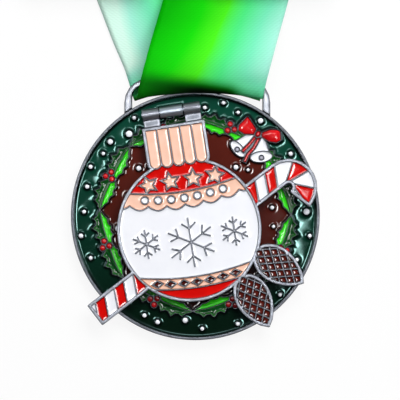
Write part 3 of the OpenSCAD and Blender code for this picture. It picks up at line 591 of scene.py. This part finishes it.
# Base fills
# Soft enamel, a coloured resin that is poured into the cells of the casting and cured. It creeps up the
# metal around it and sinks a little in the middle, so each pool has a bright line along its edge.
POOL_RISE = 0.1 * MM
POOL_SINK = 0.14 * MM
CREEP = 1.5 * MM
BOWL_REACH = 4 * MM
POOL_STEPS = (0.05, 0.12, 0.22, 0.34, 0.48, 0.64, 0.82, 1)
POOL_SPACING = 0.25 * MM
POOL_GRID = 1 * MM
FIELD_BOWL = 0.06 * MM
# Berries, clappers and the bow stand up: the drop of their edges and the rise of their middles
DOME_DROP = 0.06 * MM
DOME_CROWN = 0.12 * MM
BOW_DROP = 0.08 * MM
BOW_CROWN = 0.2 * MM
# Brush streaks along the leaves, clouds in the stirred colours, and waves in the resin's skin
WREATH_R = 27.8 * MM
STREAK_LEN = 6 * MM
STREAK_W = 0.4 * MM
CLOUD_SIZE = 5 * MM
SKIN_SIZE = 4 * MM
SKIN_DEPTH = 0.1 * MM


def pooled(rise, sink, creep, bowl=0):
    """Height of resin that creeps up at its edge, and lies level or in a shallow bowl further in."""
    def height(distance):
        edge = (rise + sink) * max(0, 1 - distance / creep) ** 3 - sink
        return edge - bowl * (1 - max(0, 1 - distance / BOWL_REACH) ** 3)
    return height


def cloudy(tree):
    """Share of the second tone: soft clouds, as the resin was stirred."""
    place = add_node(tree, "TexCoord")
    cloud = add_node(tree, "TexNoise", {"Vector": place.outputs["Object"], "Scale": 1 / CLOUD_SIZE,
                                        "Detail": 3})
    return add_node(tree, "MapRange", {"Value": cloud.outputs["Fac"], "From Min": 0.35,
                                       "From Max": 0.65}).outputs["Result"]


def shaded_below(tree):
    """Share of the second tone, painted shade: it grows to the lower side of the disc."""
    place = add_node(tree, "TexCoord")
    parts = add_node(tree, "SeparateXYZ", {0: place.outputs["Object"]})
    return add_node(tree, "MapRange", {"Value": parts.outputs["Y"], "From Min": DISC_R,
                                       "From Max": -DISC_R},
                    interpolation_type="SMOOTHSTEP").outputs["Result"]


def brushed(tree):
    """Share of the second tone: long thin streaks along the wreath, as each leaf was brushed in."""
    place = add_node(tree, "TexCoord")
    parts = add_node(tree, "SeparateXYZ", {0: place.outputs["Object"]})
    bearing = add_node(tree, "Math", {0: parts.outputs["Y"], 1: parts.outputs["X"]}, operation="ARCTAN2")
    along = add_node(tree, "Math", {0: bearing.outputs[0], 1: WREATH_R / STREAK_LEN}, operation="MULTIPLY")
    radius = add_node(tree, "VectorMath", {0: place.outputs["Object"]}, operation="LENGTH")
    across = add_node(tree, "Math", {0: radius.outputs["Value"], 1: 1 / STREAK_W}, operation="MULTIPLY")
    spot = add_node(tree, "CombineXYZ", {0: along.outputs[0], 1: across.outputs[0]})
    streak = add_node(tree, "TexNoise", {"Vector": spot.outputs[0], "Scale": 1, "Detail": 2})
    return add_node(tree, "MapRange", {"Value": streak.outputs["Fac"], "From Min": 0.48, "From Max": 0.68},
                    interpolation_type="SMOOTHSTEP").outputs["Result"]


def soft_enamel(name, colour, second, spread, rim_colour, rim_width, cast="FFFFFF", rough=0.07):
    """Cured resin colour of two tones: a glossy wet-looking skin, a painted edge tone along the metal, which
    is painted shade of the walls where it is darker than the body, and reflections with a cast of their own
    where the resin is clear."""
    material, tree = blank_material(name)
    place = add_node(tree, "TexCoord")
    edge = add_node(tree, "Attribute", attribute_name="edge_mm")
    body = add_node(tree, "Mix", {0: spread(tree), 6: srgb(colour), 7: srgb(second)}, data_type="RGBA")
    # The edge tone fades out over this width from the metal; where it is darker it is painted shade of the
    # walls
    thin = add_node(tree, "MapRange", {"Value": edge.outputs["Fac"], "From Min": 0.3 * rim_width / MM,
                                       "From Max": rim_width / MM}, interpolation_type="SMOOTHSTEP")
    tint = add_node(tree, "Mix", {0: thin.outputs["Result"], 6: srgb(rim_colour), 7: body.outputs[2]},
                    data_type="RGBA")
    skin = add_node(tree, "TexNoise", {"Vector": place.outputs["Object"], "Scale": 1 / SKIN_SIZE,
                                       "Detail": 1})
    bump = add_node(tree, "Bump", {"Height": skin.outputs["Fac"], "Strength": 0.05, "Distance": SKIN_DEPTH})
    shader = add_node(tree, "BsdfPrincipled", {
        "Base Color": tint.outputs[2], "Roughness": rough, "IOR": 1.5, "Specular Tint": srgb(cast),
        "Normal": bump.outputs["Normal"]})
    add_node(tree, "OutputMaterial", {"Surface": shader.outputs["BSDF"]})
    return material


def pour(node, body, slot, material, height):
    """Pours one colour: the node's solid gets the surface of a pool."""
    solid = welded_solid(node)
    rings = [(step * CREEP, POOL_SPACING) for step in POOL_STEPS]
    reshape_top(solid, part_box(node)[1].z, height, rings, POOL_GRID)
    return fit_piece(piece_of(solid, node + "_enamel", material), body, slot, node)


base_pool = pooled(POOL_RISE, POOL_SINK, CREEP)
base_dome = pooled(-DOME_DROP, -DOME_CROWN, CREEP)
bow_dome = pooled(-BOW_DROP, -BOW_CROWN, 2 * CREEP)
# Each pool's edge tone, where darker than its body, is painted shade of the metal walls, and in the green
# field also round the snow beads; the holly leaves have a lighter edge tone
dark_green = soft_enamel("dark_green_enamel", "0A4030", "04150A", shaded_below, "010503", 1.1 * MM, "C4FFF8")
pour("green_field", "base", "green_enamel", dark_green, pooled(POOL_RISE, POOL_SINK, CREEP, FIELD_BOWL))
brown = soft_enamel("brown_enamel", "561C12", "300804", shaded_below, "120201", 0.8 * MM)
pour("brown_field", "base", "brown_enamel", brown, base_pool)
leaf_green = soft_enamel("leaf_green_enamel", "38DC1A", "1A9C0C", brushed, "0E6A06", 0.2 * MM)
pour("leaf_light", "base", "leaf_light_enamel", leaf_green, base_pool)
holly_green = soft_enamel("holly_green_enamel", "0A4A18", "04220B", brushed, "2F8F22", 0.12 * MM)
pour("leaf_dark", "base", "leaf_dark_enamel", holly_green, base_pool)
berry_red = soft_enamel("berry_red_enamel", "D01620", "9C0C14", cloudy, "5E0509", 0.3 * MM, rough=0.15)
pour("berries", "base", "berry_enamel", berry_red, base_dome)
bow_red = soft_enamel("bow_red_enamel", "D80C14", "AE070E", cloudy, "7E0408", 0.3 * MM, rough=0.12)
pour("bow", "base", "bow_enamel", bow_red, bow_dome)
white = soft_enamel("white_enamel", "F4F5FA", "F1F2F8", cloudy, "DCDFE8", 0.25 * MM)
pour("bells", "base", "white_enamel", white, base_pool)
grey = soft_enamel("grey_enamel", "BEBDCB", "ADACBA", cloudy, "8C8B9A", 0.3 * MM)
pour("bell_clappers", "base", "grey_enamel", grey, base_dome)


# Snow dots
# Drops of white enamel, set by needle into the dark fields. Each stands up as a round bead.
DOT_SEGMENTS = 20
DOT_STEPS = 6
DOT_SHOULDER = 0.3 * MM


def islands(node):
    """Lowest and highest corner of each separate solid of a node."""
    solid = welded_solid(node)
    left = set(solid.verts)
    boxes = []
    for start in list(solid.verts):
        if start not in left:
            continue
        left.discard(start)
        group = [start]
        for vert in group:
            for edge in vert.link_edges:
                other = edge.other_vert(vert)
                if other in left:
                    left.discard(other)
                    group.append(other)
        low = Vector(min(v.co[k] for v in group) for k in range(3))
        high = Vector(max(v.co[k] for v in group) for k in range(3))
        boxes.append((low, high))
    solid.free()
    return boxes


def turn_bead(solid, middle, profile):
    """A closed round bead from its profile of radius and height, which ends on its axis."""
    rings = []
    for radius, z in profile[:-1]:
        rings.append([solid.verts.new((middle.x + radius * math.cos(a), middle.y + radius * math.sin(a), z))
                      for a in (2 * math.pi * i / DOT_SEGMENTS for i in range(DOT_SEGMENTS))])
    solid.faces.new(list(reversed(rings[0])))
    for low, high in zip(rings, rings[1:]):
        for i in range(DOT_SEGMENTS):
            k = (i + 1) % DOT_SEGMENTS
            solid.faces.new((low[i], low[k], high[k], high[i])).smooth = True
    tip = solid.verts.new((middle.x, middle.y, profile[-1][1]))
    for i in range(DOT_SEGMENTS):
        solid.faces.new((rings[-1][i], rings[-1][(i + 1) % DOT_SEGMENTS], tip)).smooth = True


dots = bmesh.new()
for low, high in islands("snow_dots"):
    radius = (high.x - low.x) / 2
    profile = [(radius, low.z)]
    for step in range(DOT_STEPS + 1):
        angle = math.pi / 2 * step / DOT_STEPS
        profile.append((radius * math.cos(angle), high.z - DOT_SHOULDER * (1 - math.sin(angle))))
    turn_bead(dots, (low + high) / 2, profile)
snow_white = soft_enamel("snow_white_enamel", "F6F8FF", "F1F3FB", cloudy, "F6F8FF", 0.3 * MM)
fit_piece(piece_of(dots, "snow_beads", snow_white), "base", "white_enamel", "snow_dots")


# Hinge
# The middle knuckle stands on the base and the two outer ones are part of the cover. A steel pin goes
# through all three and is riveted over at its ends.
HINGE_EDGE = 0.15 * MM
hinge_silver = antique_silver("antique_silver_drawn", [(0, "E0EBF8"), (1, "E0EBF8")], 0.08, 0.38)
for node in ("middle_knuckle", "hinge_pin"):
    knuckle = nodes[node]
    knuckle.data.materials.clear()
    knuckle.data.materials.append(hinge_silver)
    weld = knuckle.modifiers.new("weld", "WELD")
    weld.merge_threshold = WELD
    edge = knuckle.modifiers.new("edge", "BEVEL")
    edge.width = HINGE_EDGE
    edge.segments = 3
    edge.limit_method = "ANGLE"


# Cover casting
# The front cover, cast like the base and plated with it: a round ornament with its cap, a cane behind
# it and two cones, with raised lines between the fills and two knuckles at the top.
COVER_ROUND = 0.2 * MM
# The fills lie this far below the lines of the cover
COVER_DROP = 0.15 * MM
COVER_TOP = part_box("ornament_white")[1].z + COVER_DROP
COVER_RINGS = (0.03, 0.09, 0.2)
COVER_GRID = 1 * MM
TAB_TOP = 4.7 * MM
TAB_ROUND = 0.05 * MM
TAB_RINGS = (0.1, 0.4)
TAB_GRID = 0.6 * MM
# The knuckles and the sides of the cover have the tone of a face this far from an edge
COVER_SIDE = 0.3 * MM
cover_solid = welded_solid("cover_plate", COVER_SIDE)
reshape_top(cover_solid, TAB_TOP, rounded_edge(TAB_ROUND), rings_at(TAB_RINGS), TAB_GRID)
reshape_top(cover_solid, COVER_TOP, rounded_edge(COVER_ROUND), rings_at(COVER_RINGS), COVER_GRID)
# The lines are wiped bright, and the low broad tabs keep more of the stain; the darkest tone at an edge is
# painted shade of the walls
cover_silver = antique_silver("antique_silver_cover", [
    (0, "2A2D33"), (0.07, "82868F"), (0.2, "B6BAC5"), (0.5, "C8CCD7"), (0.75, "959AA4")], 0.3, 0.42)
fit_piece(piece_of(cover_solid, "cover_casting", cover_silver), "cover", "cast_metal", "cover_plate")


# Cover fills
# The same poured enamel as on the base, filled nearly level with the metal lines of the cover.
COVER_POOL_DROP = 0.04 * MM
COVER_POOL_SINK = 0.12 * MM
cover_pool = pooled(-COVER_POOL_DROP, COVER_POOL_SINK, CREEP)
# Their darker edge tones are painted shade of the metal walls
red = soft_enamel("red_enamel", "D80A04", "CC0804", cloudy, "9E0402", 0.35 * MM)
cone_brown = soft_enamel("cone_brown_enamel", "5C1B12", "43100A", cloudy, "220503", 0.3 * MM)
peach = soft_enamel("peach_enamel", "F9CCB6", "F5C4AB", cloudy, "D99C80", 0.3 * MM)
for node, slot, material in (
        ("cap_flutes", "peach_enamel", peach), ("ornament_red", "red_enamel", red),
        ("ornament_bands", "peach_enamel", peach), ("ornament_white", "white_enamel", white),
        ("ornament_stars", "peach_enamel", peach), ("band_beads", "white_enamel", white),
        ("band_lozenges", "brown_enamel", cone_brown), ("cane_red", "red_enamel", red),
        ("cane_white", "white_enamel", white), ("pine_cones", "brown_enamel", cone_brown)):
    pour(node, "cover", slot, material, cover_pool)


# Paper bands
# Narrow strips of kraft paper, wrapped round the folded bundles and glued, as medals are packed.
def plain_paper():
    """Uncoated paper: matt, with fine fibres."""
    material, tree = blank_material("band_paper")
    place = add_node(tree, "TexCoord")
    fibre = add_node(tree, "TexNoise", {"Vector": place.outputs["Object"], "Scale": 1 / FIBRE_SIZE,
                                        "Detail": 5})
    tone = add_node(tree, "ValToRGB", {"Fac": fibre.outputs["Fac"]}, stops=[
        (0.3, srgb("E4E0D6")), (0.7, srgb("F3F0E8"))])
    bump = add_node(tree, "Bump", {"Height": fibre.outputs["Fac"], "Strength": 0.2, "Distance": FIBRE_DEPTH})
    shader = add_node(tree, "BsdfPrincipled", {
        "Base Color": tone.outputs["Color"], "Roughness": 0.85, "Normal": bump.outputs["Normal"]})
    add_node(tree, "OutputMaterial", {"Surface": shader.outputs["BSDF"]})
    return material


PAPER_T = 0.2 * MM
PAPER_BEND = 0.4 * MM
PAPER_LAP = 5 * MM
PAPER_RAMP = 2 * MM
# The lap lies a little loose on the paper under it
LAP_LIFT = PAPER_T * 1.05
BEND_STEPS = 4
FIBRE_SIZE = 0.4 * MM
FIBRE_DEPTH = 0.03 * MM


def band_route(low, high):
    """Middle line of one band, seen along the bundle: once round, and over its own start."""
    half = PAPER_T / 2
    middle = (low.x + high.x) / 2
    top = high.z - half
    lap = top + LAP_LIFT
    route = [(middle - PAPER_LAP, top)]
    corners = ((high.x, high.z, 90, -1, -1), (high.x, low.z, 0, -1, 1), (low.x, low.z, -90, 1, 1),
               (low.x, high.z, -180, 1, -1))
    for x, z, start, in_x, in_z in corners:
        hub = (x + in_x * (half + PAPER_BEND), z + in_z * (half + PAPER_BEND))
        for i in range(BEND_STEPS + 1):
            angle = math.radians(start - 90 * i / BEND_STEPS)
            route.append((hub[0] + PAPER_BEND * math.cos(angle), hub[1] + PAPER_BEND * math.sin(angle)))
    route += [(middle - PAPER_LAP - PAPER_RAMP, top), (middle - PAPER_LAP - PAPER_RAMP / 4, lap),
              (middle + PAPER_LAP, lap)]
    return route


paper = bmesh.new()
for low, high in islands("ribbon_bands"):
    add_strip(paper, [[Vector((x, low.y, z)), Vector((x, high.y, z))] for x, z in band_route(low, high)])
bands = piece_of(paper, "paper_bands", plain_paper())
thicken(bands, PAPER_T)
fit_piece(bands, "base", "band_paper", "ribbon_bands")


# Neck seam
# Two rows of sewn thread hold the overlapped ends of the ribbon together.
def sewing_thread():
    """Spun polyester thread: matt, with a fine twist."""
    material, tree = blank_material("sewing_thread")
    place = add_node(tree, "TexCoord")
    twist = add_node(tree, "TexWave", {"Vector": place.outputs["Object"], "Scale": WAVE_LENGTH / TWIST_PITCH},
                     bands_direction="DIAGONAL")
    tone = add_node(tree, "ValToRGB", {"Fac": twist.outputs["Fac"]}, stops=[
        (0, srgb("4FBF63")), (1, srgb("8FE3A0"))])
    shader = add_node(tree, "BsdfPrincipled", {"Base Color": tone.outputs["Color"], "Roughness": 0.7})
    add_node(tree, "OutputMaterial", {"Surface": shader.outputs["BSDF"]})
    return material


THREAD_R = 0.15 * MM
THREAD_ARCH = 0.1 * MM
TWIST_PITCH = 0.3 * MM
STITCH_STEPS = 8
STITCH_SIDES = 8


def add_stitch(solid, low, high):
    """One stitch: a thread that rises out of the cloth, arches over and goes down again."""
    x = (low.x + high.x) / 2
    rings = []
    for i in range(STITCH_STEPS + 1):
        along = i / STITCH_STEPS
        arch = math.sin(math.pi * along)
        radius = THREAD_R * (0.6 + 0.4 * arch)
        middle = low.z + radius + THREAD_ARCH * arch
        ring = []
        for k in range(STITCH_SIDES):
            angle = 2 * math.pi * k / STITCH_SIDES
            ring.append(solid.verts.new((x + radius * math.cos(angle), mix(low.y, high.y, along),
                                         middle + radius * math.sin(angle))))
        rings.append(ring)
    solid.faces.new(rings[0])
    solid.faces.new(list(reversed(rings[-1])))
    for near, far in zip(rings, rings[1:]):
        for k in range(STITCH_SIDES):
            n = (k + 1) % STITCH_SIDES
            solid.faces.new((near[n], near[k], far[k], far[n])).smooth = True


seam = bmesh.new()
for low, high in islands("neck_stitches"):
    add_stitch(seam, low, high)
stitches = fit_piece(piece_of(seam, "seam_stitches", sewing_thread()),
                     "base", "stitch_thread", "neck_stitches")


# Table and studio light
# A plain white table under a soft box beyond the ribbon and two side boxes. Three feathered soft boxes
# beside the camera give the gloss of the enamel its reflections.
FLOOR_SIZE = 3
FLOOR_GAP = 0.02 * MM
WHITE_SHARE = 0.9


def white_table():
    """A white sweep: it looks white to the camera and in the metal, and keeps a soft shadow."""
    material, tree = blank_material("white_table")
    paths = add_node(tree, "LightPath")
    seen = add_node(tree, "Math", {0: paths.outputs["Is Camera Ray"], 1: paths.outputs["Is Glossy Ray"]},
                    operation="ADD")
    through = add_node(tree, "Math", {0: seen.outputs[0], 1: paths.outputs["Is Transmission Ray"]},
                       operation="ADD", use_clamp=True)
    share = add_node(tree, "Math", {0: through.outputs[0], 1: WHITE_SHARE}, operation="MULTIPLY")
    matt = add_node(tree, "BsdfDiffuse", {"Color": srgb("F2F2F2")})
    bright = add_node(tree, "Emission", {"Color": srgb("FFFFFF"), "Strength": 1})
    both = add_node(tree, "MixShader", {0: share.outputs[0], 1: matt.outputs[0], 2: bright.outputs[0]})
    add_node(tree, "OutputMaterial", {"Surface": both.outputs[0]})
    return material


table = bmesh.new()
bmesh.ops.create_grid(table, x_segments=1, y_segments=1, size=FLOOR_SIZE / 2)
floor = piece_of(table, "table", white_table())
floor.location.z = base_low.z - FLOOR_GAP

world = bpy.data.worlds.new("studio")
world.use_nodes = True
scene.world = world
sky = world.node_tree
sky.nodes.clear()
direction = add_node(sky, "TexCoord")
toward = add_node(sky, "SeparateXYZ", {0: direction.outputs["Generated"]})
beyond = add_node(sky, "MapRange", {"Value": toward.outputs["Y"], "From Min": -1})
dome = add_node(sky, "ValToRGB", {"Fac": beyond.outputs["Result"]}, stops=[
    (0, (0.05, 0.052, 0.055, 1)), (0.49, (0.04, 0.042, 0.045, 1)), (0.65, (0.2, 0.21, 0.22, 1)),
    (1, (0.4, 0.41, 0.42, 1))])
ambient = add_node(sky, "Background", {"Color": dome.outputs["Color"], "Strength": 1})
backdrop = add_node(sky, "Background", {"Color": srgb("FFFFFF"), "Strength": 1})
seen_by = add_node(sky, "LightPath")
shown = add_node(sky, "MixShader", {0: seen_by.outputs["Is Camera Ray"], 1: ambient.outputs[0],
                                    2: backdrop.outputs[0]})
add_node(sky, "OutputWorld", {"Surface": shown.outputs[0]})


def soft_box(name, place, size, brightness, feathered=False, mirrored=True):
    """A rectangular soft box that faces the medal. A feathered one fades from its middle to its edges and
    is there for the gloss alone. One that isn't mirrored lights the medal, but leaves no image of its own
    in the gloss."""
    data = bpy.data.lights.new(name, "AREA")
    data.shape = "RECTANGLE"
    data.size, data.size_y = size
    data.energy = brightness * math.pi * size[0] * size[1]
    if feathered:
        data.use_nodes = True
        tree = data.node_tree
        tree.nodes.clear()
        spot = add_node(tree, "NewGeometry")
        offset = add_node(tree, "VectorMath", {0: spot.outputs["Parametric"], 1: (0.5, 0.5, 0)},
                          operation="SUBTRACT")
        reach = add_node(tree, "VectorMath", {0: offset.outputs[0]}, operation="LENGTH")
        fade = add_node(tree, "MapRange", {"Value": reach.outputs["Value"], "From Min": 0.5,
                                           "From Max": 0.05}, interpolation_type="SMOOTHSTEP")
        glow = add_node(tree, "Emission", {"Strength": fade.outputs["Result"]})
        add_node(tree, "OutputLight", {"Surface": glow.outputs[0]})
    lamp = bpy.data.objects.new(name, data)
    lamp.visible_diffuse = not feathered
    lamp.visible_glossy = mirrored
    lamp.location = place
    lamp.rotation_euler = (-Vector(place)).to_track_quat("-Z", "Y").to_euler()
    scene.collection.objects.link(lamp)


soft_box("box_beyond", (0.25, 0.6, 0.55), (0.8, 0.4), 9.6, mirrored=False)
soft_box("box_left", (-0.6, 0.15, 0.5), (0.3, 0.5), 2.1)
soft_box("box_right", (0.6, 0.1, 0.5), (0.3, 0.5), 2.7)
soft_box("box_by_camera_right", (0.11, -0.01, camera_height), (0.13, 0.11), 38, True)
soft_box("box_by_camera_left", (-0.113, 0.05, camera_height), (0.13, 0.11), 30, True)
soft_box("box_by_camera_top", (0, 0.16, camera_height), (0.2, 0.12), 8, True)

scene.view_settings.view_transform = "Standard"
